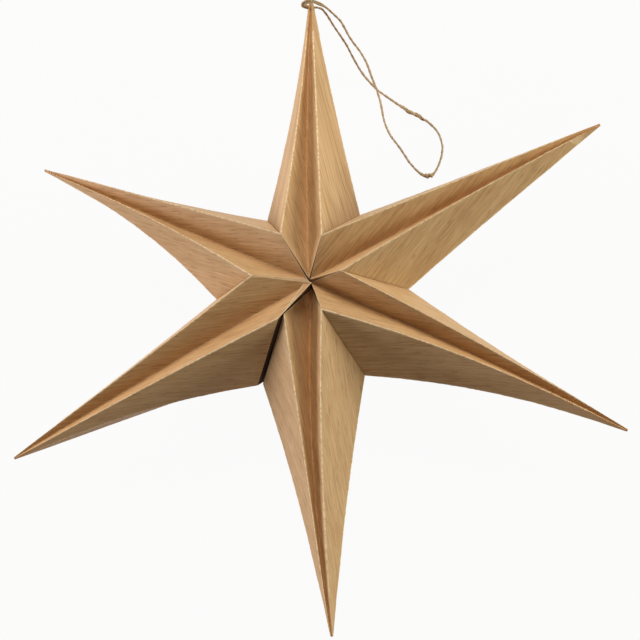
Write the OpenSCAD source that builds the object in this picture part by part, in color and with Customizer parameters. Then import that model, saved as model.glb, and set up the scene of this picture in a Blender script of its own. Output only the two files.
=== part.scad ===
// Six-pointed paper star with a wood-grain face, lying on its back with its twine loop beside it.
// Each point is one sheet of card, folded into a hollow form: a valley between two ridges in front,
// the same behind, and on each side a wall that is creased along the star's middle plane.
// The points are glued flank to flank in a chain, and the seam that closes the ring stands a little open.

/* [Star] */
// Distance from the star's axis to the end of a point
tip_radius = 225; // [170:1:300]
// Distance from the axis to a shoulder, the high corner that two points share
shoulder_radius = 30; // [26:0.5:40]
// Height of the shoulders over the middle plane, half of the star's depth
shoulder_height = 40; // [32:0.5:52]
// Distance from the axis to a notch, where the side creases of two points meet
notch_radius = 67; // [56:0.5:90]
// Height of the valleys over the middle plane at the axis
centre_height = 26; // [20:0.5:31]
// How far short of the axis the inner ends of the points stop
centre_clearance = 0.8; // [0.4:0.1:2]
// Angle left open between the first and the last point of the chain
closing_angle = 3.5; // [1:0.5:8]

/* [Card] */
// Thickness of the card
card = 0.5; // [0.3:0.05:0.8]
// Width of the blunt end of a point
tip_width = 3.6; // [3:0.1:6]
// Length at the end of a point in which the folded layers lie on each other
solid_tip = 20; // [16:1:40]

/* [Last point] */
// How far the inner end of the last point reaches past the others
overlap_reach = 1.5; // [0:0.1:2]
// How far to the side that inner end lies, over the ends of the first points
overlap_shift = 4.5; // [3:0.1:5]
// How much higher that inner end lies than the others
overlap_lift = 4.5; // [4.5:0.1:6]
// Depth of the folded layers under that inner end
overlap_depth = 1; // [0.8:0.1:1.2]
// How far the open shoulder of the first point is pressed down beside the last point
shoulder_drop = 2; // [2:0.1:3]

/* [Cord] */
// Diameter of the twine
cord_d = 1.6; // [1:0.1:1.8]
// Diameter of the hole that the twine goes through
cord_hole_d = 2; // [1.9:0.1:2.4]
// Distance of that hole from the end of its point
cord_hole_inset = 3; // [2.5:0.5:6]

/* [Hidden] */

paper_colour = "burlywood";
twine_colour = "darkkhaki";

point_count = 6;
pitch = (360 - closing_angle) / point_count;
half_pitch = pitch / 2;
// The chain is even about the direction opposite its open seam
chain_angle = 60;
top_point = point_count / 2;
first_point = 0;
last_point = point_count - 1;

// Where the inner ends of the points meet, a little off the middle of the tips
meeting_place = [2.5, 1.5, 0];
// Extra reach of the shoulders and their turn in degrees, from the open flank of the first point
// counter-clockwise to the open flank of the last point
shoulder_extra = [-2, -2, -4, 0, 3, 3, 2.5];
shoulder_angle = [3.5, -3.5, 1.5, 3.5, -4.5, -2, 5];
// Extra reach and turn of the notches, in the same order
notch_extra = [1, 0.5, -2, -1, -1, -1, 3.5];
notch_angle = [-1, 0, 0, 0, -1, -1, 0.5];
// How each point came out of the hand folding, from the bottom point counter-clockwise:
// turn of the tip in degrees, lift of the tip, sideways shift of the valley,
// and how far the ridges and the side creases are pressed in, clockwise and counter-clockwise side
folding = [
  [1.5, -3, -5, 0, 3, 3, 2],
  [1.5, 3, 2, 6, -2, 7, 2],
  [-1, 0, -0.5, 2, 0, 1, 1],
  [0.5, 1, 2, 0, 2, 1, 3],
  [1, -4, 1, 0, 4, 3, 8],
  [-1.5, 3, 0, 1, 1, 1, 7],
];
TURN = 0;
LIFT = 1;
VALLEY = 2;
RIDGE = 3;
CREASE = 5;

// Rows of panels along a point
rows = 8;
// Power of the fall with which the overlap of the last point fades along its valley
fade_power = 4;
// A pressed-in wall keeps at least this bulge outside its ridge
least_bulge = 0.6;
hollow_end = 1 - solid_tip / (tip_radius - notch_radius * cos(half_pitch));

// Shares that give the blunt end its eight corners
tip_ridge_share = 0.25;
tip_valley_share = 0.36;
// Long enough to go through a point near its end
hole_length = 4 * tip_width;

function mix(a, b, s) = a + (b - a) * s;
function unit(v) = v / norm(v);
// One at the middle of a point's length and nothing at its ends
function bow(s) = 4 * s * (1 - s);
// Index of a side in the folding table and in the shoulders: clockwise 0, counter-clockwise 1
function side_index(side) = side > 0 ? 1 : 0;

// A point's own frame has +X along the point and +Y to its counter-clockwise side
function point_angle(k) = chain_angle + (k - (point_count - 1) / 2) * pitch;
function on_seam(radius, angle, height) = [radius * cos(angle), radius * sin(angle), height];
function shoulder(k, side, face) =
  let (i = k + side_index(side), drop = k == first_point && side < 0 && face > 0 ? shoulder_drop : 0)
  on_seam(
    shoulder_radius + shoulder_extra[i],
    side * half_pitch + shoulder_angle[i],
    face * shoulder_height - drop
  );
function notch(k, side) =
  let (i = k + side_index(side))
  on_seam(notch_radius + notch_extra[i], side * half_pitch + notch_angle[i], 0);
function inner_end(k, height) =
  let (p = meeting_place, a = point_angle(k))
  [p.x * cos(a) + p.y * sin(a) + centre_clearance, p.y * cos(a) - p.x * sin(a), height];
function tip(k) =
  [tip_radius * cos(folding[k][TURN]), tip_radius * sin(folding[k][TURN]), folding[k][LIFT]];

function ridge(k, side, face, s) =
  mix(shoulder(k, side, face), tip(k) + tip_width * [0, side * tip_ridge_share, face / 2], s)
    - [0, side * folding[k][RIDGE + side_index(side)] * bow(s), 0];

function valley(k, face, s) =
  mix(inner_end(k, face * centre_height), tip(k) + tip_width * [0, 0, face * tip_valley_share], s)
    + [0, folding[k][VALLEY] * bow(s), 0];

// Sideways place of a ridge at a given distance along the point
function ridge_y(k, side, x) =
  let (start = ridge(k, side, 1, 0).x, end = ridge(k, side, 1, 1).x)
  ridge(k, side, 1, max(0, (x - start) / (end - start))).y;

function crease(k, side, s) =
  let (
    p = mix(notch(k, side), tip(k) + tip_width * [0, side / 2, 0], s),
    pressed = side * p.y - folding[k][CREASE + side_index(side)] * bow(s),
    least = side * ridge_y(k, side, p.x) + least_bulge
  )
  [p.x, side * max(pressed, least), p.z];

// Ring of eight fold lines round a point: counter-clockwise crease, ridge, valley and ridge in front,
// clockwise crease, then ridge, valley and ridge behind. The front valley bends to the end that overlaps.
function ring(k, s, overlap) = [
  crease(k, 1, s),
  ridge(k, 1, 1, s),
  valley(k, 1, s) + overlap * (1 - s) ^ fade_power,
  ridge(k, -1, 1, s),
  crease(k, -1, s),
  ridge(k, -1, -1, s),
  valley(k, -1, s),
  ridge(k, 1, -1, s),
];
folds = 8;
FRONT_VALLEY = 2;
BACK_VALLEY = 6;

// Outward normal of the panel between fold line j and the next one
function panel_normal(rings, i, j) =
  let (
    r = min(i, len(rings) - 2),
    a = rings[r][j % folds],
    b = rings[r][(j + 1) % folds],
    c = rings[r + 1][j % folds]
  )
  unit(cross(b - a, c - a));
// Outward normals of a flank, where it is glued and where it runs in to the axis
function flank_normal(side, inner, outer) =
  side * unit(cross([0, 0, 1], [outer.x - inner.x, outer.y - inner.y, 0]));
function seam_normal(k, side) = flank_normal(side, shoulder(k, side, -1), notch(k, side));
function inner_flank_normal(k, side) = flank_normal(side, inner_end(k, 0), shoulder(k, side, -1));

// Step from a fold of the outer face to the same fold of the inner face
function fold_inset(m, n) = -card * (m + n) / (1 + m * n);
function corner_inset(m, n, o) =
  -card * (cross(n, o) + cross(o, m) + cross(m, n)) / (m * cross(n, o));

function inner_point(k, rings, i, j) =
  let (
    m = panel_normal(rings, i, j + folds - 1),
    n = panel_normal(rings, i, j),
    side = j < FRONT_VALLEY || j > BACK_VALLEY ? 1 : -1,
    is_valley = j == FRONT_VALLEY || j == BACK_VALLEY,
    flank = is_valley ? inner_flank_normal(k, 1) : seam_normal(k, side)
  )
  rings[i][j] + (i == 0 ? corner_inset(m, n, flank) : fold_inset(m, n));

function outer_rings(k, overlap) = [for (i = [0 : rows]) ring(k, i / rows, overlap)];
// The hollow ends short of the end that overlaps
function inner_rings(k, overlap) =
  let (rings = [for (i = [0 : rows]) ring(k, hollow_end * i / rows, i > 0 ? overlap : [0, 0, 0])])
  [for (i = [0 : rows]) [for (j = [0 : folds - 1]) inner_point(k, rings, i, j)]];

// Closed skin over the rings, with the two flanks at its root. The root's two points, under the front
// and in the middle, stand between the inner ends of the two valleys.
module skin(rings, root_under, root_middle) {
  last = len(rings) - 1;
  end_middle = mix(rings[last][FRONT_VALLEY], rings[last][BACK_VALLEY], 0.5);
  points = [
    for (i = [0 : last], j = [0 : folds - 1]) rings[i][j],
    root_under,
    root_middle,
    end_middle,
  ];
  under_id = len(points) - 3;
  middle_id = len(points) - 2;
  end_id = len(points) - 1;
  panels = [
    for (i = [0 : last - 1], j = [0 : folds - 1])
      let (a = i * folds + j, b = i * folds + (j + 1) % folds)
      each [[a, a + folds, b + folds], [a, b + folds, b]],
  ];
  flanks = [
    [0, 1, 7],
    [1, FRONT_VALLEY, under_id],
    [1, under_id, middle_id],
    [1, middle_id, 7],
    [middle_id, BACK_VALLEY, 7],
    [4, 5, 3],
    [FRONT_VALLEY, 3, under_id],
    [under_id, 3, middle_id],
    [middle_id, 3, 5],
    [middle_id, 5, BACK_VALLEY],
  ];
  end = [for (j = [0 : folds - 1]) [end_id, last * folds + (j + 1) % folds, last * folds + j]];
  polyhedron(points, concat(panels, flanks, end), convexity = 4);
}

// Route of the twine out of its hole, round its loop and back in: x, y, z and thickness in diameters.
// The thick places are the knot at the far end of the loop and the tie where the twine's ends meet.
cord_route = [
  [-1.6, 222, 41, 1],
  [-3.2, 222, 41, 1],
  [-5.6, 222.4, 42, 1],
  [-6.7, 222.9, 44.4, 1],
  [-5.6, 223.4, 46.8, 1],
  [-3.2, 223.8, 47.8, 1],
  [0, 224, 47.6, 1],
  [3.2, 223.8, 46.2, 1],
  [6.2, 223.2, 44, 1],
  [9.5, 222, 40.5, 1],
  [15, 218, 35.5, 1],
  [19.5, 214, 30.5, 1],
  [24.5, 205, 23.5, 1],
  [31, 196.5, 16.5, 1],
  [35, 189, 12, 1],
  [37, 182.5, 9, 1],
  [39, 176.5, 6.4, 1],
  [41.5, 169, 4, 1],
  [43.5, 159.5, 1.7, 1],
  [45.5, 147, 0.9, 1],
  [49.5, 136, 0.9, 1],
  [56.5, 124.5, 0.9, 1],
  [63.5, 112, 0.9, 1],
  [69.5, 104.5, 1, 1.1],
  [74, 101, 1.8, 2.1],
  [78, 101, 1.8, 2.1],
  [81, 104, 1, 1.1],
  [83.5, 109, 0.9, 1],
  [86, 116.5, 0.9, 1],
  [86.5, 125, 0.9, 1],
  [83.5, 135, 0.9, 1],
  [77, 143.5, 1, 1.1],
  [69.5, 149, 1.6, 1.8],
  [62.5, 154, 1.6, 1.8],
  [55.5, 160, 1, 1.1],
  [47.5, 167, 0.9, 1],
  [41.5, 172.5, 0.9, 1],
  [36.5, 178, 2, 1],
  [30.5, 185.5, 5.5, 1],
  [25.5, 194, 11, 1],
  [20.5, 203.5, 18.5, 1],
  [14, 212.5, 27, 1],
  [10, 218.5, 33.5, 1],
  [7, 221.5, 37.8, 1],
  [4, 222, 40.4, 1],
  [1.8, 222, 41, 1],
  [0.2, 222, 41, 1],
];
THICKNESS = 3;
cord_sides = 8;
cord_step = 3 * cord_d;

// Smooth line through the route's points, with a ring about every three diameters
function route_point(i) = cord_route[max(0, min(len(cord_route) - 1, i))];
function route_curve(i, t) =
  let (a = route_point(i - 1), b = route_point(i), c = route_point(i + 1), d = route_point(i + 2))
  (2 * b + (c - a) * t + (2 * a - 5 * b + 4 * c - d) * t ^ 2 + (3 * b - a - 3 * c + d) * t ^ 3) / 2;
function place(p) = [p.x, p.y, p.z];
cord_line = [
  for (i = [0 : len(cord_route) - 2])
    let (count = max(1, round(norm(place(route_point(i + 1) - route_point(i))) / cord_step)))
    for (j = [0 : count - 1]) route_curve(i, j / count),
  route_point(len(cord_route) - 1),
];
function heading(i) =
  unit(place(cord_line[min(i + 1, len(cord_line) - 1)] - cord_line[max(i - 1, 0)]));
// Direction across the line, carried along it without twist
function square_to(v, t) = unit(v - t * (v * t));
cord_across = [
  for (
    i = 0, v = square_to([0, 0, 1], heading(0));
    i < len(cord_line);
    i = i + 1, v = square_to(v, heading(i))
  ) v,
];

module hanging_cord() {
  last = len(cord_line) - 1;
  points = [
    for (i = [0 : last], j = [0 : cord_sides - 1])
      let (a = 360 * j / cord_sides, v = cord_across[i], w = cross(heading(i), v))
      place(cord_line[i]) + cord_d / 2 * cord_line[i][THICKNESS] * (v * cos(a) + w * sin(a)),
  ];
  sides = [
    for (i = [0 : last - 1], j = [0 : cord_sides - 1])
      let (a = i * cord_sides + j, b = i * cord_sides + (j + 1) % cord_sides)
      each [[a, a + cord_sides, b + cord_sides], [a, b + cord_sides, b]],
  ];
  start = [for (j = [0 : cord_sides - 1]) j];
  end = [for (j = [cord_sides - 1 : -1 : 0]) last * cord_sides + j];
  color(twine_colour)
    polyhedron(points, concat(sides, [start, end]), convexity = 10);
}

module folded_point(k) {
  overlaps = k == last_point;
  overlap = overlaps ? [-overlap_reach, overlap_shift, overlap_lift] : [0, 0, 0];
  outer = outer_rings(k, overlap);
  inner = inner_rings(k, overlap);
  root_front = outer[0][FRONT_VALLEY];
  root_middle = inner_end(k, overlaps ? root_front.z - overlap_depth : 0);
  root_under = overlaps ? root_front - [0, 0, overlap_depth] : mix(root_front, root_middle, 0.5);
  inner_front = inner[0][FRONT_VALLEY];
  inner_back = inner[0][BACK_VALLEY];
  color(paper_colour)
    translate([0, 0, shoulder_height])
      rotate([0, 0, point_angle(k)])
        difference() {
          skin(outer, root_under, root_middle);
          skin(inner, mix(inner_front, inner_back, 0.25), mix(inner_front, inner_back, 0.5));
          if (k == top_point)
            translate(tip(k) - [cord_hole_inset, 0, 0])
              rotate([90, 0, 0])
                cylinder(d = cord_hole_d, h = hole_length, center = true, $fn = 32);
        }
}

module point_bottom() { folded_point(first_point); }
module point_lower_right() { folded_point(1); }
module point_upper_right() { folded_point(2); }
module point_top() { folded_point(top_point); }
module point_upper_left() { folded_point(4); }
module point_lower_left() { folded_point(last_point); }

point_bottom();
point_lower_right();
point_upper_right();
point_top();
point_upper_left();
point_lower_left();
hanging_cord();
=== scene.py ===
import math

import bmesh
import bpy
import numpy as np
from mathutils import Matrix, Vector
from mathutils.bvhtree import BVHTree


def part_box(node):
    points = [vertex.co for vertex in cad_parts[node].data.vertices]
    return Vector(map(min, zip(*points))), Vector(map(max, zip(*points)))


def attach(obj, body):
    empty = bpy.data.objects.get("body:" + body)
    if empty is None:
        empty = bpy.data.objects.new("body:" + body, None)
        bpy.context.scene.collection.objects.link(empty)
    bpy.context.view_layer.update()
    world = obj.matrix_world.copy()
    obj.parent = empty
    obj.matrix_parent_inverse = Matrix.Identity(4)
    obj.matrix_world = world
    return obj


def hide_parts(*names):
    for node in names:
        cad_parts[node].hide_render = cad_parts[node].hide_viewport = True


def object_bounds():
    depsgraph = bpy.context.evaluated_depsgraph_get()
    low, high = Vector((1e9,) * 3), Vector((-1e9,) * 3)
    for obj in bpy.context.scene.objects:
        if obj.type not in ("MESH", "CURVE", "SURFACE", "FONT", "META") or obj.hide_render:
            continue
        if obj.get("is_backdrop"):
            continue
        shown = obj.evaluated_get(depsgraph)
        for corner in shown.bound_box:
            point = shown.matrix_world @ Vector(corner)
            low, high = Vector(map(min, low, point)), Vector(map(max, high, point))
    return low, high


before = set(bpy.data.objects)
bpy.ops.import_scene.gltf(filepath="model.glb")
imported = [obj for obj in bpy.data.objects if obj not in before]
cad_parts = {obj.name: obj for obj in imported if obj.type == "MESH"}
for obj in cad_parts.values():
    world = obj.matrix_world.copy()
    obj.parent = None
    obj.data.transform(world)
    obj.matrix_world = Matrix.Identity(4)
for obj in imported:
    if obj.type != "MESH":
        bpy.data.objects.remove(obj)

bl_info = {
    "name": "Paper Star",
    "version": (1, 0, 0),
    "blender": (4, 5, 0),
    "location": "View3D > Sidebar > Paper Star",
    "description": "Folded card points and twine loop of a paper star, with a stage for its picture",
    "category": "Object",
}

CAD_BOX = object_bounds()
MIDDLE_HEIGHT = sum(corner[2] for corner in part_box("point_top")) / 2

# The points in the order in which they were glued, each with the turn of the print's grain
# from the point's length, counter-clockwise as its face is seen, and with the depth
# by which its front valley is pressed in at the star's centre
POINTS = (
    ("point_bottom", 19, 0.012),
    ("point_lower_right", 18, 0.003),
    ("point_upper_right", 19, 0),
    ("point_top", 18, 0),
    ("point_upper_left", 23, 0),
    ("point_lower_left", -20, 0),
)
HUNG_POINT = "point_top"
# Direction from the star's centre along the seam that stands open, between the first and the last point
OPEN_SEAM = Vector((math.cos(math.radians(240)), math.sin(math.radians(240)), 0))

# Route of the twine out of its hole, round its loop and back in: place and thickness in diameters
TWINE_ROUTE = (
    (-0.0016, 0.222, 0.041, 1),
    (-0.0032, 0.222, 0.041, 1),
    (-0.0056, 0.2224, 0.042, 1),
    (-0.0067, 0.2229, 0.0444, 1),
    (-0.0056, 0.2234, 0.0468, 1),
    (-0.0032, 0.2238, 0.0478, 1),
    (0, 0.224, 0.0476, 1),
    (0.0032, 0.2238, 0.0462, 1),
    (0.0062, 0.2232, 0.044, 1),
    (0.0095, 0.222, 0.0405, 1),
    (0.015, 0.218, 0.0355, 1),
    (0.0195, 0.214, 0.0305, 1),
    (0.0245, 0.205, 0.0235, 1),
    (0.031, 0.1965, 0.0165, 1),
    (0.035, 0.189, 0.012, 1),
    (0.037, 0.1825, 0.009, 1),
    (0.039, 0.1765, 0.0064, 1),
    (0.0415, 0.169, 0.004, 1),
    (0.0435, 0.1595, 0.0017, 1),
    (0.0455, 0.147, 0.0009, 1),
    (0.0495, 0.136, 0.0009, 1),
    (0.0565, 0.1245, 0.0009, 1),
    (0.0635, 0.112, 0.0009, 1),
    (0.0695, 0.1045, 0.001, 1.1),
    (0.074, 0.101, 0.0018, 2.1),
    (0.078, 0.101, 0.0018, 2.1),
    (0.081, 0.104, 0.001, 1.1),
    (0.0835, 0.109, 0.0009, 1),
    (0.086, 0.1165, 0.0009, 1),
    (0.0865, 0.125, 0.0009, 1),
    (0.0835, 0.135, 0.0009, 1),
    (0.077, 0.1435, 0.001, 1.1),
    (0.0695, 0.149, 0.0016, 1.8),
    (0.0625, 0.154, 0.0016, 1.8),
    (0.0555, 0.16, 0.001, 1.1),
    (0.0475, 0.167, 0.0009, 1),
    (0.0415, 0.1725, 0.0009, 1),
    (0.0365, 0.178, 0.002, 1),
    (0.0305, 0.1855, 0.0055, 1),
    (0.0255, 0.194, 0.011, 1),
    (0.0205, 0.2035, 0.0185, 1),
    (0.014, 0.2125, 0.027, 1),
    (0.01, 0.2185, 0.0335, 1),
    (0.007, 0.2215, 0.0378, 1),
    (0.004, 0.222, 0.0404, 1),
    (0.0018, 0.222, 0.041, 1),
    (0.0002, 0.222, 0.041, 1),
)
KNOT = (24, 25)
TIE = (31, 34)


def srgb(red, green, blue):
    """A colour as it is seen, from 0 to 255, turned into the linear values that shaders use."""
    shares = [channel / 255 for channel in (red, green, blue)]
    return tuple(c / 12.92 if c <= 0.04045 else ((c + 0.055) / 1.055) ** 2.4 for c in shares)


def colour_property(name, description, seen):
    return bpy.props.FloatVectorProperty(
        name=name, description=description, default=srgb(*seen), subtype="COLOR", min=0, max=1
    )


def length_property(name, description, metres):
    return bpy.props.FloatProperty(
        name=name, description=description, default=metres, min=0, unit="LENGTH", precision=5
    )


class CardSettings(bpy.types.PropertyGroup):
    pale: colour_property("Pale wood", "Lightest tone of the printed grain", (219, 187, 143))
    middle: colour_property("Wood", "Main tone of the printed grain", (203, 167, 120))
    deep: colour_property("Deep wood", "Darkest tone of the broad grain", (182, 142, 96))
    pore: colour_property("Pores", "Short dark flecks of the grain", (138, 100, 62))
    core: colour_property("Card core", "Bare card where the print has cracked at a fold", (250, 228, 186))
    # Colour painted on the gussets that face each other as their warm bounce light and shade, strongest at
    # the valley
    painted_bounce: colour_property("Valley glow", "Warmer tone of the panels that face each other", (206, 156, 98))
    # Colour painted on the flaps as the shade that falls in the seams between the points
    flank: colour_property("Flanks", "Shaded flaps in the seams", (58, 34, 16))
    fold_round: length_property("Fold rounding", "Width of a fold's rounding", 0.0005)
    ripple: length_property("Ripple", "Depth of the sheets' unevenness", 0.0010)
    nick: length_property("Nicks", "Depth of the uneven places along a fold", 0.0004)
    scoring: length_property("Scoring", "Distance between the cuts that score a fold", 0.0032)


class TwineSettings(bpy.types.PropertyGroup):
    pale: colour_property("Pale fibre", "Lightest fibres of the twine", (203, 179, 141))
    middle: colour_property("Fibre", "Main tone of the twine", (179, 153, 115))
    # Colour painted as the shade in the grooves between the plies
    deep: colour_property("Deep fibre", "Tone between the plies", (152, 122, 86))
    diameter: length_property("Diameter", "Thickness of the twine", 0.0016)
    twist: length_property("Twist", "Length of one turn of the plies", 0.0095)
    step: length_property("Step", "Length of one ring of the plies", 0.0005)
    stray_fibres: bpy.props.IntProperty(
        name="Stray fibres", description="Number of loose fibres that stand off the twine", default=420, min=0
    )


class StageSettings(bpy.types.PropertyGroup):
    camera_place: bpy.props.FloatVectorProperty(
        name="Camera",
        description="Place of the camera",
        default=(0.1733, -0.3749, 0.9839),
        subtype="TRANSLATION",
    )
    camera_turn: bpy.props.FloatVectorProperty(
        name="Camera turn",
        description="Turn of the camera",
        default=[math.radians(a) for a in (20.4545, 10.1369, -0.0989)],
        subtype="EULER",
    )
    lens: bpy.props.FloatProperty(
        name="Lens", description="Focal length on a sensor 36 mm wide", default=86.83, unit="CAMERA"
    )
    floor_colour: colour_property("Floor", "Colour of the floor under the star", (202, 183, 172))


class Socket:
    """An output of a node, which can be used in arithmetic."""

    def __init__(self, finish, socket):
        self.finish = finish
        self.socket = socket

    def __add__(self, other):
        return self.finish.math("ADD", self, other)

    def __radd__(self, other):
        return self.finish.math("ADD", other, self)

    def __sub__(self, other):
        return self.finish.math("SUBTRACT", self, other)

    def __rsub__(self, other):
        return self.finish.math("SUBTRACT", other, self)

    def __mul__(self, other):
        return self.finish.math("MULTIPLY", self, other)

    def __rmul__(self, other):
        return self.finish.math("MULTIPLY", other, self)

    def __truediv__(self, other):
        return self.finish.math("DIVIDE", self, other)


class Finish:
    """The node tree of a material or of the world."""

    def __init__(self, owner):
        owner.use_nodes = True
        self.tree = owner.node_tree
        self.tree.nodes.clear()

    def node(self, kind, settings, sockets, output=0):
        """A new node, with its settings first and then its sockets' values or links."""
        node = self.tree.nodes.new(kind)
        for name, value in settings.items():
            setattr(node, name, value)
        for name, value in sockets.items():
            if isinstance(value, Socket):
                self.tree.links.new(value.socket, node.inputs[name])
            else:
                node.inputs[name].default_value = value
        return Socket(self, node.outputs[output]) if node.outputs else None

    def math(self, operation, *values):
        return self.node("ShaderNodeMath", {"operation": operation}, dict(enumerate(values)))

    def vector(self, operation, first, second):
        return self.node("ShaderNodeVectorMath", {"operation": operation}, {0: first, 1: second})

    def together(self, x, y, z):
        return self.node("ShaderNodeCombineXYZ", {}, {0: x, 1: y, 2: z})

    def noise(self, vector, detail=2.0, roughness=0.5):
        sockets = {"Vector": vector, "Scale": 1.0, "Detail": detail, "Roughness": roughness}
        return self.node("ShaderNodeTexNoise", {}, sockets)

    def streaks(self, vector, length, width, detail=2.0, roughness=0.5):
        """Noise drawn out along the first direction, with streaks about that long and wide."""
        stretched = self.vector("MULTIPLY", vector, (1 / length, 1 / width, 1))
        return self.noise(stretched, detail, roughness)

    def rise(self, value, low, high):
        """From 0 at low to 1 at high, softly."""
        sockets = {"Value": value, "From Min": low, "From Max": high}
        return self.node("ShaderNodeMapRange", {"interpolation_type": "SMOOTHSTEP"}, sockets)

    def colour(self, share, first, second):
        return self.node("ShaderNodeMix", {"data_type": "RGBA"}, {0: share, 6: first, 7: second}, 2)

    def measure(self, name):
        """A number that the mesh carries at its points or corners."""
        return self.node("ShaderNodeAttribute", {"attribute_name": name}, {}, 2)

    def surface(self, shader):
        self.node("ShaderNodeOutputMaterial", {}, {"Surface": shader})


def solid(colour):
    return (*colour, 1.0)


# Streaks of the printed grain: length and width of one, then the detail and roughness of its noise
GRAIN_DRIFT = (0.15, 0.03)
GRAIN_LINES = (0.05, 0.0018, 3.0, 0.6)
GRAIN_HAIRS = (0.018, 0.001, 2.0, 0.6)
GRAIN_BANDS = (0.3, 0.012)
GRAIN_PORES = (0.011, 0.0009, 1.0)
GRAIN_RAYS = (0.012, 0.0012, 1.0)
# How far the drift sets the grain sideways
GRAIN_SWAY = 0.004
# Strength of the lines, the hairs and the bands in the grain's tone, then of the rays and the pores
TONE_SHARES = (0.9, 1.1, 0.6)
RAY_SHARE = 0.35
PORE_SHARE = 0.6
# Levels between which the tone's colours and the marks come up
MIDDLE_LEVELS = (0.1, 0.6)
PALE_LEVELS = (0.45, 1.0)
RAY_LEVELS = (0.63, 0.74)
PORE_LEVELS = (0.62, 0.72)
CUT_LEVELS = (0.36, 0.58)
SCUFF_LEVELS = (0.3, 0.7)
# Distances from a fold between which its wear ends, and from a valley between which the painted warm bounce
# light and shade fades
RIDGE_WEAR = (0.0004, 0.0012)
VALLEY_WEAR = (0.0002, 0.0008)
ROOT_WEAR = (0.0002, 0.0009)
PAINTED_BOUNCE_REACH = (0.0, 0.014)
# Distances from the point's end between which the wear comes up to its full strength
END_WEAR = (0.003, 0.026)
SCUFFS_PER_METRE = (70, 70, 70)
BUMP_DEPTH = 0.0002


def wood_grain_card(card):
    """Card printed with wood grain, worn pale along its scored folds."""
    material = bpy.data.materials.new("wood_grain_card")
    finish = Finish(material)
    place = finish.node("ShaderNodeUVMap", {"uv_map": "grain"}, {})
    drift = finish.streaks(place, *GRAIN_DRIFT) - 0.5
    sway = finish.together(0.0, drift * GRAIN_SWAY, 0.0)
    grain = finish.vector("ADD", place, sway)

    lines = finish.streaks(grain, *GRAIN_LINES)
    hairs = finish.streaks(grain, *GRAIN_HAIRS)
    bands = finish.streaks(grain, *GRAIN_BANDS)
    pores = finish.rise(finish.streaks(grain, *GRAIN_PORES), *PORE_LEVELS)
    rays = finish.rise(finish.streaks(grain, *GRAIN_RAYS), *RAY_LEVELS)

    tone = 0.5
    for streaks, share in zip((lines, hairs, bands), TONE_SHARES):
        tone = tone + (streaks - 0.5) * share
    colour = finish.colour(finish.rise(tone, *MIDDLE_LEVELS), solid(card.deep), solid(card.middle))
    colour = finish.colour(finish.rise(tone, *PALE_LEVELS), colour, solid(card.pale))
    colour = finish.colour(rays * RAY_SHARE, colour, solid(card.pale))
    colour = finish.colour(pores * PORE_SHARE, colour, solid(card.pore))
    # Painted warm bounce light and shade on the gussets, which face each other: stronger towards the valley
    gusset = finish.measure("gusset")
    painted_bounce_share = gusset * (0.75 - 0.45 * finish.rise(finish.measure("valley"), *PAINTED_BOUNCE_REACH))
    painted_bounce = finish.vector("MULTIPLY", colour, tuple(g / m for g, m in zip(card.painted_bounce, card.middle)))
    colour = finish.colour(painted_bounce_share, colour, painted_bounce)

    along = finish.measure("along")
    cut = finish.noise(finish.together(along / card.scoring, 0.0, 0.0), 1.0)
    cuts = finish.rise(cut, *CUT_LEVELS)
    rubbed = finish.noise(finish.vector("MULTIPLY", place, SCUFFS_PER_METRE))
    scuffs = finish.rise(rubbed, *SCUFF_LEVELS)
    ridge = 1 - finish.rise(finish.measure("ridge"), *RIDGE_WEAR)
    valley = 1 - finish.rise(finish.measure("valley"), *VALLEY_WEAR)
    root = 1 - finish.rise(finish.measure("root"), *ROOT_WEAR)
    worn_ridge = ridge * (0.35 + cuts * 0.6) * (0.6 + scuffs * 0.4)
    worn = worn_ridge + valley * cuts * scuffs * 0.35 + root * gusset * 0.45
    worn = worn * (0.15 + 0.85 * finish.rise(finish.measure("to_end"), *END_WEAR))
    colour = finish.colour(worn, colour, solid(card.core))
    # Painted shade in the seams: the flaps take the dark seam colour, fully in the open seam and a little in
    # the glued ones
    flank = finish.measure("flank")
    colour = finish.colour(flank, colour, solid(card.flank))

    height = lines * 0.6 + hairs * 0.5 - pores * 0.6 - ridge * cuts * 0.5
    relief = {"Strength": 0.25, "Distance": BUMP_DEPTH, "Height": height}
    bump = finish.node("ShaderNodeBump", {}, relief)
    sockets = {
        "Base Color": colour,
        "Roughness": 0.5 + lines * 0.16 + worn * 0.2 + flank * 0.35,
        "Specular IOR Level": 0.35,
        "Normal": bump,
    }
    finish.surface(finish.node("ShaderNodeBsdfPrincipled", {}, sockets))
    return material


# Streaks of the twine's fibres, like those of the grain
FIBRE_STRANDS = (0.006, 0.00022, 2.0, 0.6)
FIBRE_LENGTHS = (0.02, 0.004)


def twine_fibre(twine):
    """Spun plant fibre, with painted shade between its plies."""
    material = bpy.data.materials.new("twine")
    fibre = Finish(material)
    lay = fibre.node("ShaderNodeUVMap", {"uv_map": "lay"}, {})
    strands = fibre.streaks(lay, *FIBRE_STRANDS)
    lengths = fibre.streaks(lay, *FIBRE_LENGTHS)
    depth = fibre.measure("depth")
    tone = 0.5 + (strands - 0.5) * 1.8 + (lengths - 0.5) * 1.2
    colour = fibre.colour(fibre.rise(tone, 0.1, 0.9), solid(twine.middle), solid(twine.pale))
    # Painted shade: darker where the surface lies deep between the plies
    colour = fibre.colour(fibre.rise(depth, 0.25, 0.8), solid(twine.deep), colour)
    relief = {"Strength": 0.5, "Distance": BUMP_DEPTH, "Height": strands}
    bump = fibre.node("ShaderNodeBump", {}, relief)
    sockets = {
        "Base Color": colour,
        "Roughness": 0.75 + strands * 0.2,
        "Specular IOR Level": 0.2,
        "Normal": bump,
    }
    fibre.surface(fibre.node("ShaderNodeBsdfPrincipled", {}, sockets))
    return material


def soft_step(values, low, high):
    share = np.clip((values - low) / (high - low), 0, 1)
    return share * share * (3 - 2 * share)


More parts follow.
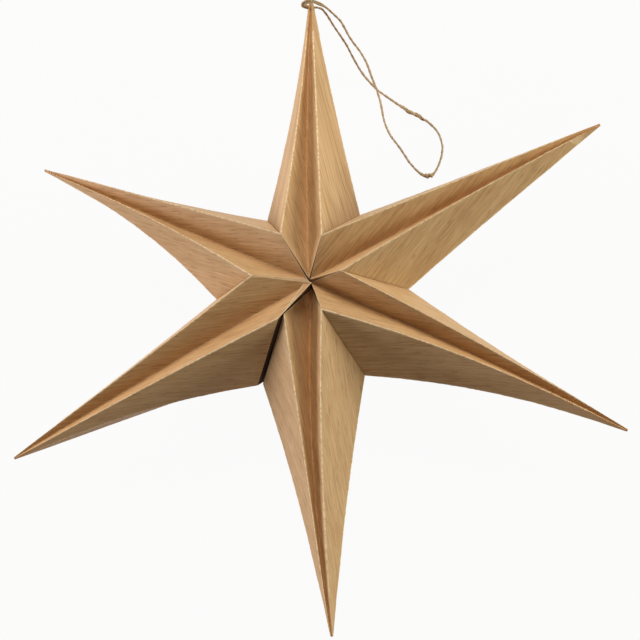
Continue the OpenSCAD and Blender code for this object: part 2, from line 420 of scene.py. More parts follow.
def vertex_places(mesh):
    places = np.empty(len(mesh.vertices) * 3)
    mesh.vertices.foreach_get("co", places)
    return places.reshape(-1, 3)


def distance_to(places, segments):
    """Distance of each place from the nearest of the segments."""
    nearest = np.full(len(places), np.inf)
    for start, end in segments:
        along = end - start
        share = np.clip((places - start) @ along / (along @ along), 0, 1)
        nearest = np.minimum(nearest, np.linalg.norm(places - start - share[:, None] * along, axis=1))
    return nearest


def keep_measure(mesh, name, values):
    mesh.attributes.new(name, "FLOAT", "POINT").data.foreach_set("value", values.astype(np.float32))


def new_piece(name, mesh):
    """An object for a mesh, which alone is selected and active."""
    bpy.ops.object.select_all(action="DESELECT")
    piece = bpy.data.objects.new(name, mesh)
    bpy.context.scene.collection.objects.link(piece)
    piece.select_set(True)
    bpy.context.view_layer.objects.active = piece
    return piece


def apply_modifier(piece, kind, settings):
    modifier = piece.modifiers.new(kind.lower(), kind)
    for name, value in settings.items():
        setattr(modifier, name, value)
    bpy.ops.object.modifier_apply(modifier=modifier.name)


class Folds:
    """The fold lines and panels of a point, read from its merged CAD mesh.

    The mesh gets its folds marked as seams, and its inner skin hidden.
    """

    # A flank's normal leans this far back from the point's length
    FLANK_LEAN = -0.25
    # Least angle and length of a fold, and least share of its run along the point
    SHARP = math.radians(25)
    SHORTEST = 0.001
    LENGTHWISE = 0.88
    # Length that counts as the end, distance from the middle plane that counts as on it
    END_LENGTH = 0.0005
    LEVEL = 0.0004
    # Area under which a panel counts as a gusset
    SLIVER = 0.0002

    def __init__(self, mesh):
        sheet = bmesh.new()
        sheet.from_mesh(mesh)
        sheet.normal_update()
        end = max(sheet.verts, key=lambda v: v.co.xy.length)
        self.reach = end.co.xy.length
        self.axis = Vector((end.co.x, end.co.y, 0)).normalized()
        outside = self.spread(end.link_faces[0], lambda edge: True)
        flanks = {f for f in outside if f.normal.dot(self.axis) < self.FLANK_LEAN}
        self.notch_reach = max(v.co.dot(self.axis) for f in flanks for v in f.verts)
        ends = [v.co.z for f in outside for v in f.verts if self.to_end(v) < self.END_LENGTH]
        self.lift = sum(ends) / len(ends) - MIDDLE_HEIGHT
        self.lines = {"ridge": [], "valley": [], "root": [], "end": []}
        valleys = set()
        for edge in sheet.edges:
            kind = self.kind(edge, flanks) if edge.link_faces[0] in outside else None
            if kind:
                edge.seam = True
                self.lines[kind].append([np.array(v.co) for v in edge.verts])
            if kind == "valley":
                valleys.add(edge)
        for face in sheet.faces:
            face.hide_set(face not in outside)
        self.read_panels(sheet, outside, valleys)
        sheet.to_mesh(mesh)
        sheet.free()

    @staticmethod
    def spread(start, crosses):
        """The faces that can be reached from a face over the edges that may be crossed."""
        found = {start}
        waiting = [start]
        while waiting:
            for edge in waiting.pop().edges:
                if crosses(edge):
                    fresh = [f for f in edge.link_faces if f not in found]
                    found.update(fresh)
                    waiting.extend(fresh)
        return found

    def to_end(self, vertex):
        return self.reach - vertex.co.dot(self.axis)

    def all_to_end(self, places):
        return self.reach - places @ np.array(self.axis)

    def level(self, vertex):
        """Whether a vertex lies on the middle plane, which bends up or down to the point's end."""
        share = (vertex.co.dot(self.axis) - self.notch_reach) / (self.reach - self.notch_reach)
        return abs(vertex.co.z - MIDDLE_HEIGHT - self.lift * share) < self.LEVEL

    def lengthwise(self, run):
        return abs(run.normalized().dot(self.axis)) > self.LENGTHWISE

    def kind(self, edge, flanks):
        """Which fold an edge is, if any."""
        sides = [f in flanks for f in edge.link_faces]
        if any(sides):
            return None if all(sides) else "root"
        if all(self.to_end(v) < self.END_LENGTH for v in edge.verts):
            return "end"
        run = edge.verts[1].co - edge.verts[0].co
        if run.length < self.SHORTEST or not self.lengthwise(run):
            return None
        lean = edge.calc_face_angle_signed()
        if all(self.level(v) for v in edge.verts) or lean > self.SHARP:
            return "ridge"
        return "valley" if lean < -self.SHARP else None

    def read_panels(self, sheet, outside, valleys):
        """List each panel's directions and whether it is a gusset, and find the panel of each face."""
        sheet.verts.index_update()
        sheet.faces.index_update()
        corners = [v.co.copy() for v in sheet.verts]
        polygons = []
        self.panels = []
        self.panel_of = []
        left = set(outside)
        for start in sheet.faces:
            if start not in left:
                continue
            panel = sorted(self.spread(start, lambda edge: not edge.seam), key=lambda f: f.index)
            left -= set(panel)
            normal = sum((f.normal * f.calc_area() for f in panel), Vector()).normalized()
            length = (self.axis - normal * self.axis.dot(normal)).normalized()
            for face in panel:
                polygons.append([v.index for v in face.verts])
                self.panel_of.append(len(self.panels))
            is_sliver = sum(f.calc_area() for f in panel) < self.SLIVER
            is_gusset = is_sliver or any(e in valleys for f in panel for e in f.edges)
            self.panels.append((np.array(length), np.array(normal.cross(length)), is_gusset))
        self.surface = BVHTree.FromPolygons(corners, polygons)

    def panel_at(self, place):
        return self.panel_of[self.surface.find_nearest(place)[2]]


class STAR_OT_points(bpy.types.Operator):
    """Fold the six points of the star from printed card"""

    bl_idname = "star.points"
    bl_label = "Folded points"

    MERGE_DISTANCE = 1e-5
    SMOOTH_ANGLE = math.radians(32)
    # Largest bend inside a quad and difference in its corners, and the cuts along and across a panel
    QUAD_BEND = math.radians(30)
    QUAD_SKEW = math.radians(179)
    STEPS_ALONG = 23
    STEPS_ACROSS = 5
    # Share of its width that an end keeps, and the length over which it is drawn in
    END_SHARE = 0.5
    END_TAPER = 0.03
    # Distance within which the card is pressed in with a valley, and the power by which that fades
    VALLEY_REACH = 0.0025
    VALLEY_FADE = 4
    # Sizes of the ripples and the nicks
    RIPPLE_SIZE = 0.035
    NICK_SIZE = 0.0024
    # Distances from the flanks, the end and the folds between which the sheet comes free to ripple
    ROOT_FREE = (0.001, 0.02)
    END_FREE = (0.0, 0.05)
    FOLD_FREE = (0.0, 0.008)
    # Share of the ripple that is left at a fold
    FOLD_RIPPLE = 0.4
    # Distances from a fold between which its nicks end
    NICK_STRIP = (0.0002, 0.0009)
    # Share of a narrow panel's edge that a fold's rounding may take
    ROOM_SHARE = 0.42
    # Share of painted seam shade on the glued flanks
    CLOSED_SHADE = 0.15
    # Spread of the open seam, and the distances from the centre between which the painted shade on its flanks
    # comes up to full
    SEAM_SPREAD = math.cos(math.radians(14))
    OPEN_SHADE_REACH = (0.004, 0.02)
    # Lengths at the hung point's end, round its hole, that stay undivided and that stay sharp and unworn
    HOLE_LENGTH = 0.0195
    BARE_LENGTH = 0.0255
    # Distance from a fold that counts as unworn
    UNWORN = 0.0015
    # Place of each next point's print on the sheet
    SHEET_SHIFT = (0.37, 0.53)

    def execute(self, context):
        card = context.scene.star_card
        finish = wood_grain_card(card)
        sheet_ripple = bpy.data.textures.new("sheet_ripple", "CLOUDS")
        sheet_ripple.noise_scale = self.RIPPLE_SIZE
        fold_nicks = bpy.data.textures.new("fold_nicks", "CLOUDS")
        fold_nicks.noise_scale = self.NICK_SIZE
        for number, (node, grain_turn, pressed) in enumerate(POINTS):
            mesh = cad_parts[node].data.copy()
            mesh.name = "card_" + node
            mesh.materials.clear()
            mesh.materials.append(finish)
            piece = new_piece("card_" + node, mesh)
            self.merge()
            folds = Folds(mesh)
            if pressed:
                self.press_valley(mesh, folds, pressed)
                folds = Folds(mesh)
            if node != HUNG_POINT:
                self.narrow_end(mesh, folds)
            folds.whole_length = self.HOLE_LENGTH if node == HUNG_POINT else 0.0
            folds.bare_length = self.BARE_LENGTH if node == HUNG_POINT else 0.0
            self.divide(mesh, folds)
            self.uneven(piece, folds, card, sheet_ripple, fold_nicks)
            self.round_folds(piece, folds, card)
            self.measure(mesh, folds)
            self.lay_grain(mesh, folds, math.radians(grain_turn), number)
            bpy.ops.object.shade_smooth_by_angle(angle=self.SMOOTH_ANGLE)
            self.shade_end_flat(mesh, folds)
            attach(piece, "root")
            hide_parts(node)
        return {"FINISHED"}

    def merge(self):
        bpy.ops.object.mode_set(mode="EDIT")
        bpy.ops.mesh.select_all(action="SELECT")
        bpy.ops.mesh.remove_doubles(threshold=self.MERGE_DISTANCE)
        bpy.ops.mesh.customdata_custom_splitnormals_clear()
        bpy.ops.object.mode_set(mode="OBJECT")

    def press_valley(self, mesh, folds, depth):
        """Press the front valley in at its inner end, with both sides of its card, less and less along it."""
        places = vertex_places(mesh)
        front = [line for line in folds.lines["valley"] if min(place[2] for place in line) > MIDDLE_HEIGHT]
        moved = distance_to(places, front) < self.VALLEY_REACH
        left = np.clip(1 - places @ np.array(folds.axis) / folds.reach, 0, 1)
        places[moved, 2] -= depth * left[moved] ** self.VALLEY_FADE
        mesh.vertices.foreach_set("co", places.ravel())
        mesh.update()

    def narrow_end(self, mesh, folds):
        """Draw the point's end in, to the thin end of a hand-folded sheet."""
        places = vertex_places(mesh)
        axis = np.array(folds.axis)
        along = places @ axis
        ends = places[folds.reach - along < folds.END_LENGTH].mean(axis=0)
        offset = places - ends
        offset -= np.outer(offset @ axis, axis)
        share = (1 - self.END_SHARE) * (1 - soft_step(folds.reach - along, 0, self.END_TAPER))
        places -= offset * share[:, None]
        mesh.vertices.foreach_set("co", places.ravel())
        mesh.update()

    def divide(self, mesh, folds):
        """Make quads of the panels, and divide them along the point and across it."""
        bpy.ops.object.mode_set(mode="EDIT")
        bpy.ops.mesh.select_mode(type="FACE")
        bpy.ops.mesh.select_all(action="DESELECT")
        for face in bmesh.from_edit_mesh(mesh).faces:
            if not face.hide and not self.stays_whole(folds, face.verts):
                face.select_set(True)
        bmesh.update_edit_mesh(mesh)
        bpy.ops.mesh.tris_convert_to_quads(
            face_threshold=self.QUAD_BEND, shape_threshold=self.QUAD_SKEW, seam=True
        )
        bpy.ops.mesh.select_mode(type="EDGE")
        for cuts, lengthwise in ((self.STEPS_ALONG, True), (self.STEPS_ACROSS, False)):
            self.select_panel_edges(mesh, folds, lengthwise)
            bpy.ops.mesh.subdivide(number_cuts=cuts, quadcorner="STRAIGHT_CUT")
        bpy.ops.object.mode_set(mode="OBJECT")

    def stays_whole(self, folds, corners):
        """Whether a face or an edge reaches the hole for the twine, where the panels aren't divided."""
        return any(folds.to_end(v) < folds.whole_length for v in corners)

    def select_panel_edges(self, mesh, folds, lengthwise):
        """Select the panels' edges along the point or across it, but not those of the flanks and the end."""
        bpy.ops.mesh.select_all(action="DESELECT")
        sheet = bmesh.from_edit_mesh(mesh)
        for edge in sheet.edges:
            if edge.hide or all(f.normal.dot(folds.axis) < folds.FLANK_LEAN for f in edge.link_faces):
                continue
            if all(folds.to_end(v) < folds.END_LENGTH for v in edge.verts):
                continue
            if self.stays_whole(folds, edge.verts):
                continue
            edge.select_set(folds.lengthwise(edge.verts[1].co - edge.verts[0].co) == lengthwise)
        bmesh.update_edit_mesh(mesh)

    def uneven(self, piece, folds, card, sheet_ripple, fold_nicks):
        """Let the sheets ripple a little, and the folds stray, away from the glued flanks and the end."""
        mesh = piece.data
        places = vertex_places(mesh)
        outside = np.ones(len(mesh.vertices), bool)
        hidden = [v for p in mesh.polygons if p.hide for v in p.vertices]
        outside[hidden] = False
        from_fold = distance_to(places, folds.lines["ridge"] + folds.lines["valley"])
        free = soft_step(distance_to(places, folds.lines["root"]), *self.ROOT_FREE)
        free *= soft_step(folds.all_to_end(places), *self.END_FREE) * outside
        off_fold = soft_step(from_fold, *self.FOLD_FREE)
        weights = {
            "sheet": free * (self.FOLD_RIPPLE + (1 - self.FOLD_RIPPLE) * off_fold),
            "fold": free * (1 - soft_step(from_fold, *self.NICK_STRIP)),
        }
        for name, values in weights.items():
            group = piece.vertex_groups.new(name=name)
            for index in np.flatnonzero(values):
                group.add([int(index)], float(values[index]), "REPLACE")
        textures = {"sheet": (sheet_ripple, card.ripple), "fold": (fold_nicks, card.nick)}
        for name, (texture, strength) in textures.items():
            settings = {"texture": texture, "texture_coords": "LOCAL"}
            settings.update(strength=strength, vertex_group=name)
            apply_modifier(piece, "DISPLACE", settings)
        piece.vertex_groups.clear()

    def round_folds(self, piece, folds, card):
        """Round the marked folds, less where the panels get narrow."""
        mesh = piece.data
        places = vertex_places(mesh)
        edges = np.array([e.vertices[:] for e in mesh.edges])
        seams = np.array([e.use_seam for e in mesh.edges])
        bare = folds.all_to_end(places) < folds.bare_length
        lengths = np.linalg.norm(places[edges[:, 0]] - places[edges[:, 1]], axis=1)
        room = np.full(len(places), np.inf)
        for side in (0, 1):
            np.minimum.at(room, edges[~seams, side], lengths[~seams])
        least_room = np.minimum(room[edges[:, 0]], room[edges[:, 1]])
        weights = np.clip(self.ROOM_SHARE * least_room / card.fold_round, 0, 1)
        weights = np.where(seams & ~bare[edges].any(axis=1), weights, 0)
        marks = mesh.attributes.new("bevel_weight_edge", "FLOAT", "EDGE")
        marks.data.foreach_set("value", weights.astype(np.float32))
        settings = {"width": card.fold_round, "segments": 2}
        settings.update(limit_method="WEIGHT", use_clamp_overlap=False)
        apply_modifier(piece, "BEVEL", settings)
        bpy.ops.object.mode_set(mode="EDIT")
        bpy.ops.mesh.reveal(select=False)
        bpy.ops.object.mode_set(mode="OBJECT")

    def shade_end_flat(self, mesh, folds):
        """Shade the undivided panels flat."""
        for face in mesh.polygons:
            if self.stays_whole(folds, [mesh.vertices[corner] for corner in face.vertices]):
                face.use_smooth = False

    def measure(self, mesh, folds):
        """Keep each place's distance from the folds, far from them next to the hole, and its place along."""
        places = vertex_places(mesh)
        to_end = folds.all_to_end(places)
        least = np.where(to_end < folds.bare_length, self.UNWORN, 0.0)
        for name in ("ridge", "valley", "root"):
            keep_measure(mesh, name, np.maximum(distance_to(places, folds.lines[name]), least))
        keep_measure(mesh, "along", places @ np.array(folds.axis))
        keep_measure(mesh, "to_end", to_end)

    def lay_grain(self, mesh, folds, turn, number):
        """Lay the print flat on each panel, turned from the point's length, and paint the seams' shade on the
        flanks.
        """
        for layer in list(mesh.uv_layers):
            mesh.uv_layers.remove(layer)
        mesh.uv_layers.new(name="grain")
        for name in ("flank", "gusset"):
            mesh.attributes.new(name, "FLOAT", "CORNER")
        layer = mesh.uv_layers["grain"]
        flanks = mesh.attributes["flank"]
        gussets = mesh.attributes["gusset"]
        shift_u, shift_v = (shift * number for shift in self.SHEET_SHIFT)
        places = vertex_places(mesh)
        cos, sin = math.cos(turn), math.sin(turn)
        for face in mesh.polygons:
            length, across, is_gusset = folds.panels[folds.panel_at(face.center)]
            corners = places[list(face.vertices)]
            seam_shades = np.zeros(len(corners))
            # Painted shade on the flaps: a little in the glued seams, growing to full away from the centre in
            # the open seam
            if face.normal.dot(folds.axis) < folds.FLANK_LEAN:
                outward = Vector((face.center.x, face.center.y, 0)).normalized()
                open_seam_shade = 1 - self.CLOSED_SHADE if outward.dot(OPEN_SEAM) > self.SEAM_SPREAD else 0
                from_centre = np.linalg.norm(corners[:, :2], axis=1)
                seam_shades = self.CLOSED_SHADE + open_seam_shade * soft_step(from_centre, *self.OPEN_SHADE_REACH)
            u, v = corners @ length, corners @ across
            for loop, a, b, shade in zip(face.loop_indices, u * cos + v * sin, v * cos - u * sin, seam_shades):
                layer.data[loop].uv = (a + shift_u, b + shift_v)
                flanks.data[loop].value = shade
                gussets.data[loop].value = float(is_gusset)


# Places worked out between two points of a route
SPAN_PLACES = 40


def smooth_line(points, spacing):
    """A smooth line through the route's points at an even spacing, with the points' places along it."""
    route = np.array(points, float)
    rows = []
    starts = []
    for i in range(len(route) - 1):
        a, b, c, d = (route[min(max(j, 0), len(route) - 1)] for j in range(i - 1, i + 3))
        t = np.linspace(0, 1, SPAN_PLACES, endpoint=False)[:, None]
        starts.append(SPAN_PLACES * i)
        span = 2 * b + (c - a) * t
        span = span + (2 * a - 5 * b + 4 * c - d) * t**2
        span = span + (3 * b - a - 3 * c + d) * t**3
        rows.append(span / 2)
    line = np.vstack([*rows, route[-1:]])
    reach = np.concatenate([[0], np.cumsum(np.linalg.norm(np.diff(line[:, :3], axis=0), axis=1))])
    even = np.linspace(0, reach[-1], int(round(reach[-1] / spacing)) + 1)
    line = np.column_stack([np.interp(even, reach, column) for column in line.T])
    return even, line, reach[[*starts, len(reach) - 1]]


def carried_frames(line):
    """Directions along a line and square to it, carried along without twist."""
    heading = np.gradient(line, axis=0)
    heading /= np.linalg.norm(heading, axis=1)[:, None]
    across = np.empty_like(heading)
    v = np.array([0.0, 0.0, 1.0])
    for i, t in enumerate(heading):
        v = v - t * (v @ t)
        v /= np.linalg.norm(v)
        across[i] = v
    return heading, across, np.cross(heading, across)


class Strands:
    """Mesh of thin round strands, with their lay as a UV map and their depth in the twine as a measure."""

    def __init__(self):
        self.places, self.faces, self.lay, self.depth = [], [], [], []

    def add(self, centres, radii, sides, depth_of, start):
        """Add a closed tube round a line, whose lay starts at a place of its own."""
        _, across, over = carried_frames(centres)
        reach = start + np.concatenate([[0], np.cumsum(np.linalg.norm(np.diff(centres, axis=0), axis=1))])
        first = len(self.places)
        girth = 2 * math.pi * float(np.max(radii))
        for i in range(len(centres)):
            for j in range(sides):
                a = 2 * math.pi * j / sides
                place = centres[i] + radii[i] * (across[i] * math.cos(a) + over[i] * math.sin(a))
                self.places.append(place)
                self.depth.append(depth_of(i, place))
        for i in range(len(centres) - 1):
            for j in range(sides):
                a, b = first + i * sides + j, first + i * sides + (j + 1) % sides
                self.faces.append((a, b, b + sides, a + sides))
                left, right = girth * j / sides, girth * (j + 1) / sides
                near, far = reach[i], reach[i + 1]
                self.lay.append(((near, left), (near, right), (far, right), (far, left)))
        last = first + (len(centres) - 1) * sides
        self.faces.append(tuple(first + j for j in reversed(range(sides))))
        self.faces.append(tuple(last + j for j in range(sides)))
        self.lay.extend([((reach[0], 0.0),) * sides, ((reach[-1], 0.0),) * sides])

    def mesh(self, name):
        mesh = bpy.data.meshes.new(name)
        mesh.from_pydata([tuple(p) for p in self.places], [], self.faces)
        layer = mesh.uv_layers.new(name="lay")
        layer.data.foreach_set("uv", [c for face in self.lay for corner in face for c in corner])
        keep_measure(mesh, "depth", np.array(self.depth))
        return mesh


class STAR_OT_twine(bpy.types.Operator):
    """Lay the twine loop, with its knot, its tie and its loose fibres"""

    bl_idname = "star.twine"
    bl_label = "Twine loop"

    SIDES = 7
    # Radius of a ply and its distance from the twine's centre, in diameters
    PLY_SHARE = 0.4
    LAY_SHARE = 0.13
    # Share of the route's thickness by which the plies swell
    SWELL_SHARE = 0.6
    # Angle by which the twist strays, and the length over which it does
    TWIST_DRIFT = 0.5
    TWIST_DRIFT_LENGTH = 0.013
    # Distance between the plies' uneven places, and their thickness
    SLUB_SPACING = 0.006
    SLUB_RANGE = (0.82, 1.16)
    # Where the plies, the hitch, the wraps and the fibres start in the pattern of the lay
    PLY_START = 0.5
    HITCH_START = 3.1
    WRAP_START = 1.7
    FIBRE_START = 2.3
    # Depth that keeps a strand out of the painted shade, as lying on the outside
    OUTER_DEPTH = 0.9
    # Share of its thickness that a wrap keeps at its ends
    WRAP_END = 0.25
    # The knot's length past its marks, its turns and places, and the share of it that tapers
    KNOT_MARGIN = 0.0012
    KNOT_TURNS = 2.4
    KNOT_PLACES = 60
    KNOT_TAPER = 0.12
    # Distance of the knot's strand from the loop, its radius and its least height, in diameters
    KNOT_DISTANCE = 0.8
    KNOT_RADIUS = 0.48
    KNOT_HEIGHT = 0.45
    # The tie's wraps: angle at the start, turns and radius in diameters, and the shares that taper and rise
    TIE_WRAPS = ((0.3, 2.2, 0.4), (2.4, 1.7, 0.34))
    TIE_TAPER = 0.22
    TIE_RISE = 0.3
    # Distance of a wrap of the tie at its ends and in its middle, in diameters
    TIE_LOW = 0.25
    TIE_HIGH = 0.75
    # Length of a loose fibre, its radius, how that thins out, and the least height of its places
    FIBRE_LENGTH = (0.0006, 0.0019)
    FIBRE_RADIUS = 0.00005
    FIBRE_THINNING = (1.0, 0.9, 0.7, 0.3)
    FIBRE_HEIGHT = 0.0001
    # Places at each end of the twine that get no fibres
    BARE_PLACES = 12
    # Start of the random draws, and the steps of the line between two places of the cord's path
    SEED = 7
    PATH_STEP = 4
    # A turn of the twine beside the hole, from inside the point to the first turn, and its sizes
    HITCH_SHARES = (1.0, 0.86)
    HITCH = (
        (-0.0014, 0.2222, 0.0420),
        (-0.0030, 0.2224, 0.0422),
        (-0.0045, 0.2227, 0.0432),
        (-0.0051, 0.2229, 0.0446),
        (-0.0044, 0.2233, 0.0459),
        (-0.0028, 0.2237, 0.0468),
        (-0.0012, 0.2239, 0.0472),
    )
    # The same turn drawn on over the point's end, to where the loop starts
    OVER_END = (
        (-0.0050, 0.2226, 0.0440),
        (-0.0036, 0.2226, 0.0461),
        (-0.0014, 0.2228, 0.0470),
        (0.0012, 0.2229, 0.0468),
        (0.0034, 0.2228, 0.0456),
        (0.0054, 0.2224, 0.0437),
        (0.0074, 0.2222, 0.0422),
        (0.0090, 0.2220, 0.0409),
        (0.0104, 0.2214, 0.0398),
    )

    def execute(self, context):
        twine = context.scene.star_twine
        reach, line, marks = smooth_line(TWINE_ROUTE, twine.step)
        centres, thickness = line[:, :3], line[:, 3]
        heading, across, over = carried_frames(centres)
        strands = Strands()
        chance = np.random.default_rng(self.SEED)
        slub = self.slubs(reach, chance)
        turn = 2 * math.pi * reach / twine.twist
        turn = turn + self.TWIST_DRIFT * np.sin(reach / self.TWIST_DRIFT_LENGTH)

        def wound(angle, distance):
            outward = np.cos(angle)[:, None] * across + np.sin(angle)[:, None] * over
            return centres + distance[:, None] * outward

        def depth_of(i, place):
            return float(np.linalg.norm(place - centres[i]) / (0.5 * twine.diameter))

        swell = 1 + self.SWELL_SHARE * (thickness - 1)
        for ply in (0, 1):
            angle = turn + math.pi * ply
            distance = twine.diameter * self.LAY_SHARE * swell
            radii = twine.diameter * self.PLY_SHARE * swell * slub[ply]
            strands.add(wound(angle, distance), radii, self.SIDES, depth_of, self.PLY_START * ply)
        self.add_hitch(strands, twine)
        self.add_knot(strands, twine, reach, marks, wound, centres)
        self.add_tie(strands, twine, reach, marks, wound, centres)
        self.add_fibres(strands, twine, centres, thickness, heading, across, over, chance)

        mesh = strands.mesh("twine_loop")
        mesh.materials.append(twine_fibre(twine))
        piece = new_piece("twine_loop", mesh)
        bpy.ops.object.shade_smooth()
        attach(piece, "root")
        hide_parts("hanging_cord")
        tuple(TWINE_ROUTE[0][:3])
        [tuple(map(float, c)) for c in (*centres[:: self.PATH_STEP], centres[-1])]
        return {"FINISHED"}

    def slubs(self, reach, chance):
        """Uneven thickness of each ply."""
        marks = np.arange(0, reach[-1] + 0.01, self.SLUB_SPACING)
        return [np.interp(reach, marks, chance.uniform(*self.SLUB_RANGE, len(marks))) for _ in (0, 1)]

    def add_hitch(self, strands, twine):
        """Turns inside the first one, each drawn closer to the hole than the last, and one over the end."""
        turns = np.array(self.HITCH)
        hole = turns[[0, -1]].mean(axis=0)
        routes = [hole + share * (turns - hole) for share in self.HITCH_SHARES]
        for route in (*routes, self.OVER_END):
            _, line, _ = smooth_line(route, twine.step)
            radii = np.full(len(line), 0.5 * twine.diameter)
            strands.add(line, radii, self.SIDES, self.on_outside, self.HITCH_START)

    def on_outside(self, _, place):
        return self.OUTER_DEPTH

    def add_knot(self, strands, twine, reach, marks, wound, centres):
        """Turns of twine drawn tight round the loop's far end."""
        low, high = marks[KNOT[0]] - self.KNOT_MARGIN, marks[KNOT[1]] + self.KNOT_MARGIN
        part = np.flatnonzero((reach >= low) & (reach <= high))
        share = (reach[part] - low) / (high - low)
        fine = np.linspace(share[0], share[-1], self.KNOT_PLACES)
        distance = np.full(len(reach), self.KNOT_DISTANCE * twine.diameter)
        angle = np.zeros(len(reach))
        angle[part] = 2 * math.pi * self.KNOT_TURNS * share
        turns = wound(angle, distance)[part]
        centre = np.column_stack([np.interp(fine, share, c) for c in turns.T])
        base = np.column_stack([np.interp(fine, share, c) for c in centres[part].T])
        centre[:, 2] = np.maximum(centre[:, 2], self.KNOT_HEIGHT * twine.diameter)
        self.add_wrap(strands, twine, centre, base, fine, self.KNOT_RADIUS, self.KNOT_TAPER)

    def add_tie(self, strands, twine, reach, marks, wound, centres):
        """The end of the twine, laid along it and twisted in."""
        low, high = marks[TIE[0]], marks[TIE[1]]
        part = np.flatnonzero((reach >= low) & (reach <= high))
        share = (reach[part] - low) / (high - low)
        for phase, turns, size in self.TIE_WRAPS:
            distance = np.zeros(len(reach))
            angle = np.zeros(len(reach))
            angle[part] = phase + 2 * math.pi * turns * share
            rise = soft_step(np.minimum(share, 1 - share), 0, self.TIE_RISE)
            distance[part] = twine.diameter * (self.TIE_LOW + (self.TIE_HIGH - self.TIE_LOW) * rise)
            line = wound(angle, distance)[part]
            self.add_wrap(strands, twine, line, centres[part], share, size, self.TIE_TAPER)

    def add_wrap(self, strands, twine, line, base, share, size, taper):
        """A strand wound round the twine, thinner at both its ends."""
        full = soft_step(np.minimum(share, 1 - share), 0, taper)
        radii = twine.diameter * size * (self.WRAP_END + (1 - self.WRAP_END) * full)

        # Depth for the painted shade: a wrap is darker where it lies close to the twine
        def depth_of(i, place):
            return float(np.linalg.norm(place - base[i]) / (0.8 * twine.diameter))

        strands.add(line, radii, self.SIDES, depth_of, self.WRAP_START)

    def add_fibres(self, strands, twine, centres, thickness, heading, across, over, chance):
        """Loose fibres that stand off the twine, mostly along it."""
        for _ in range(twine.stray_fibres):
            i = int(chance.integers(self.BARE_PLACES, len(centres) - self.BARE_PLACES))
            angle = chance.uniform(0, 2 * math.pi)
            out = across[i] * math.cos(angle) + over[i] * math.sin(angle)
            side = np.cross(out, heading[i])
            run = heading[i] * chance.choice((-1, 1)) * chance.uniform(0.5, 1.2)
            run = run + out * chance.uniform(0.3, 1.0)
            run += side * chance.uniform(-0.6, 0.6)
            run /= np.linalg.norm(run)
            length = chance.uniform(*self.FIBRE_LENGTH)
            curl = (side * chance.uniform(-0.5, 0.5) - out * chance.uniform(0, 0.5)) * length
            t = np.linspace(0, 1, len(self.FIBRE_THINNING))[:, None]
            start = centres[i] + out * 0.42 * twine.diameter * (0.55 + 0.45 * thickness[i])
            fibre = start + run * length * t + curl * t**2
            fibre[:, 2] = np.maximum(fibre[:, 2], self.FIBRE_HEIGHT)
            radii = self.FIBRE_RADIUS * np.array(self.FIBRE_THINNING)
            strands.add(fibre, radii, 3, self.on_outside, self.FIBRE_START)


def aim(lamp, place, target):
    lamp.location = place
    lamp.rotation_euler = (Vector(target) - Vector(place)).to_track_quat("-Z", "Y").to_euler()


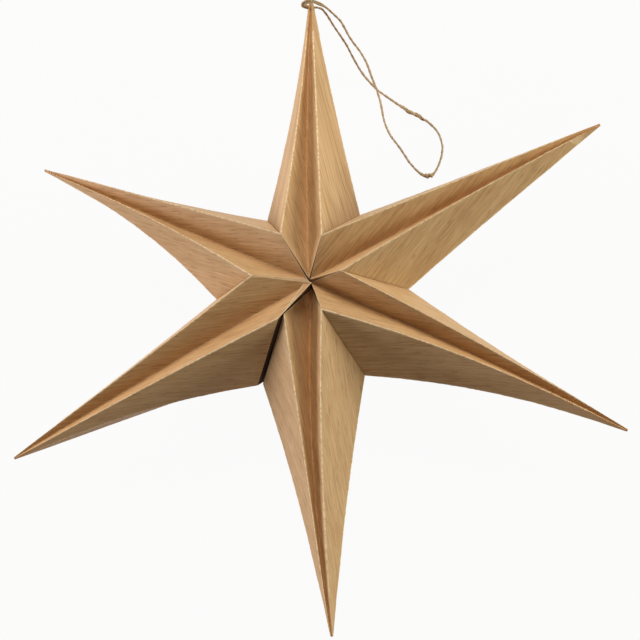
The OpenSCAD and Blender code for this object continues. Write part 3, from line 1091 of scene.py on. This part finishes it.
class STAR_OT_stage(bpy.types.Operator):
    """Set the camera, the pale floor and the soft lamps"""

    bl_idname = "star.stage"
    bl_label = "Stage"

    # Each lamp's name, place, size, power and colour
    LAMPS = (
        ("lamp_top", (0.12, 1.35, 1.2), 1.0, 20.5, (1.0, 0.99, 1.0)),
        ("lamp_right", (1.5, -0.05, 0.34), 0.7, 12.5, (1.0, 0.98, 0.8)),
        ("lamp_left", (-1.5, 0.0, 0.36), 0.7, 15.1, (1.0, 0.93, 0.95)),
    )
    SENSOR_WIDTH = 36
    CLIP_START = 0.01
    WHITE = (1, 1, 1, 1)
    FLOOR_SIZE = 6
    FLOOR_HEIGHT = -0.0003
    # Share of plain white in the floor as it is seen; the rest takes the shadow
    FLOOR_WHITE = 0.95
    # Strength and tint of the light that comes from all round
    ROOM_LIGHT = 0.15
    ROOM_TINT = (1.0, 0.93, 0.89, 1)

    def execute(self, context):
        scene = context.scene
        settings = scene.star_stage
        scene.view_settings.view_transform = "Standard"
        camera = bpy.data.objects.new("camera", bpy.data.cameras.new("camera"))
        scene.collection.objects.link(camera)
        camera.data.sensor_width = self.SENSOR_WIDTH
        camera.data.lens = settings.lens
        camera.data.clip_start = self.CLIP_START
        camera.location = settings.camera_place
        camera.rotation_euler = settings.camera_turn
        scene.camera = camera
        for name, place, size, power, colour in self.LAMPS:
            data = bpy.data.lights.new(name, "AREA")
            data.shape = "DISK"
            data.size = size
            data.energy = power
            data.color = colour
            lamp = bpy.data.objects.new(name, data)
            scene.collection.objects.link(lamp)
            aim(lamp, place, (0, 0, MIDDLE_HEIGHT))
        self.make_floor(settings)
        self.make_surroundings(scene)
        return {"FINISHED"}

    def background_rays(self, finish):
        """1 for the rays that show the background, in the picture or in a reflection."""
        rays = [
            finish.node("ShaderNodeLightPath", {}, {}, name)
            for name in ("Is Camera Ray", "Is Glossy Ray", "Is Transmission Ray")
        ]
        return finish.math("MAXIMUM", finish.math("MAXIMUM", rays[0], rays[1]), rays[2])

    def make_floor(self, settings):
        bpy.ops.object.select_all(action="DESELECT")
        bpy.ops.mesh.primitive_plane_add(size=self.FLOOR_SIZE, location=(0, 0, self.FLOOR_HEIGHT))
        bpy.ops.object.transform_apply()
        floor = bpy.context.active_object
        floor.name = "floor"
        material = bpy.data.materials.new("floor_white")
        finish = Finish(material)
        grey = finish.node("ShaderNodeBsdfDiffuse", {}, {"Color": solid(settings.floor_colour)})
        white = finish.node("ShaderNodeEmission", {}, {"Color": self.WHITE, "Strength": 1.0})
        share = self.background_rays(finish) * self.FLOOR_WHITE
        finish.surface(finish.node("ShaderNodeMixShader", {}, {0: share, 1: grey, 2: white}))
        floor.data.materials.append(material)
        floor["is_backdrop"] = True

    def make_surroundings(self, scene):
        world = bpy.data.worlds.new("white_room")
        scene.world = world
        finish = Finish(world)
        shown = self.background_rays(finish)
        strength = shown + (1 - shown) * self.ROOM_LIGHT
        colour = finish.colour(shown, self.ROOM_TINT, self.WHITE)
        sky = finish.node("ShaderNodeBackground", {}, {"Color": colour, "Strength": strength})
        finish.node("ShaderNodeOutputWorld", {}, {"Surface": sky})


class STAR_PT_panel(bpy.types.Panel):
    bl_label = "Paper Star"
    bl_space_type = "VIEW_3D"
    bl_region_type = "UI"
    bl_category = "Paper Star"

    def draw(self, context):
        layout = self.layout
        for group, operator in (
            ("star_stage", STAR_OT_stage),
            ("star_twine", STAR_OT_twine),
            ("star_card", STAR_OT_points),
        ):
            settings = getattr(context.scene, group)
            box = layout.box()
            for name in settings.__annotations__:
                box.prop(settings, name)
            box.operator(operator.bl_idname)


CLASSES = (
    CardSettings,
    TwineSettings,
    StageSettings,
    STAR_OT_stage,
    STAR_OT_twine,
    STAR_OT_points,
    STAR_PT_panel,
)


def register():
    for kind in CLASSES:
        bpy.utils.register_class(kind)
    bpy.types.Scene.star_card = bpy.props.PointerProperty(type=CardSettings)
    bpy.types.Scene.star_twine = bpy.props.PointerProperty(type=TwineSettings)
    bpy.types.Scene.star_stage = bpy.props.PointerProperty(type=StageSettings)


def unregister():
    del bpy.types.Scene.star_stage
    del bpy.types.Scene.star_twine
    del bpy.types.Scene.star_card
    for kind in reversed(CLASSES):
        bpy.utils.unregister_class(kind)


def main():
    register()
    bpy.ops.star.stage()
    bpy.ops.star.twine()
    bpy.ops.star.points()
    boxes = {"cad": CAD_BOX, "visual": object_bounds()}
    {name: [list(map(float, corner)) for corner in box] for name, box in boxes.items()}


if __name__ == "__main__":
    main()
